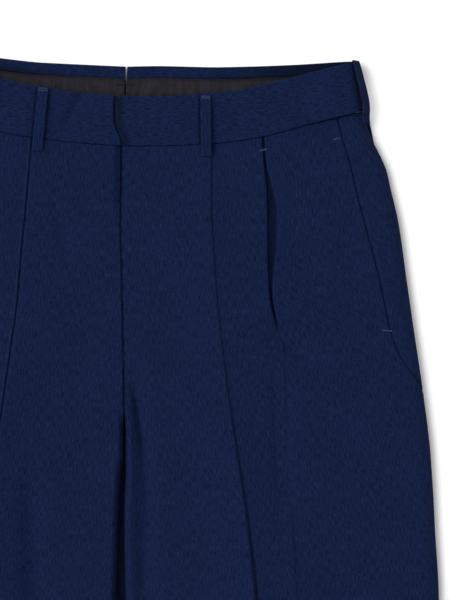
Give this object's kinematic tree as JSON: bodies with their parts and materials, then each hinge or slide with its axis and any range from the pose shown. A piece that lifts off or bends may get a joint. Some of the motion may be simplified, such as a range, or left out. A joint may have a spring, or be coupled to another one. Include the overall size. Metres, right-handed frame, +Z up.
{
  "type": "pleated trousers",
  "caption": "Pleated wool trousers lying flat, with pressed creases, slant pockets and a belt-loop waistband.",
  "frame": {"origin": "on the surface the garment lies on, below the middle of the whole", "axes": "+Z up from the surface, +Y towards the waist, +X towards the wearer's left leg"},
  "size_m": [0.5478, 1.1128, 0.024],
  "materials": {
    "cloth": "plain worsted wool, dark blue",
    "lining": "twill curtain lining, near black"
  },
  "bodies": {
    "root": {"front_left": "cloth", "front_right": "cloth", "back_left": "cloth", "back_right": "cloth", "pocket_facing_left": "cloth", "pocket_facing_right": "cloth", "waistband_left": "cloth", "waistband_right": "cloth", "waist_curtain_left": "lining", "waist_curtain_right": "lining", "front_loop_left": "cloth", "front_loop_right": "cloth", "side_loop_left": "cloth", "side_loop_right": "cloth", "back_loop_left": "cloth", "back_loop_right": "cloth"}
  },
  "joints": []
}
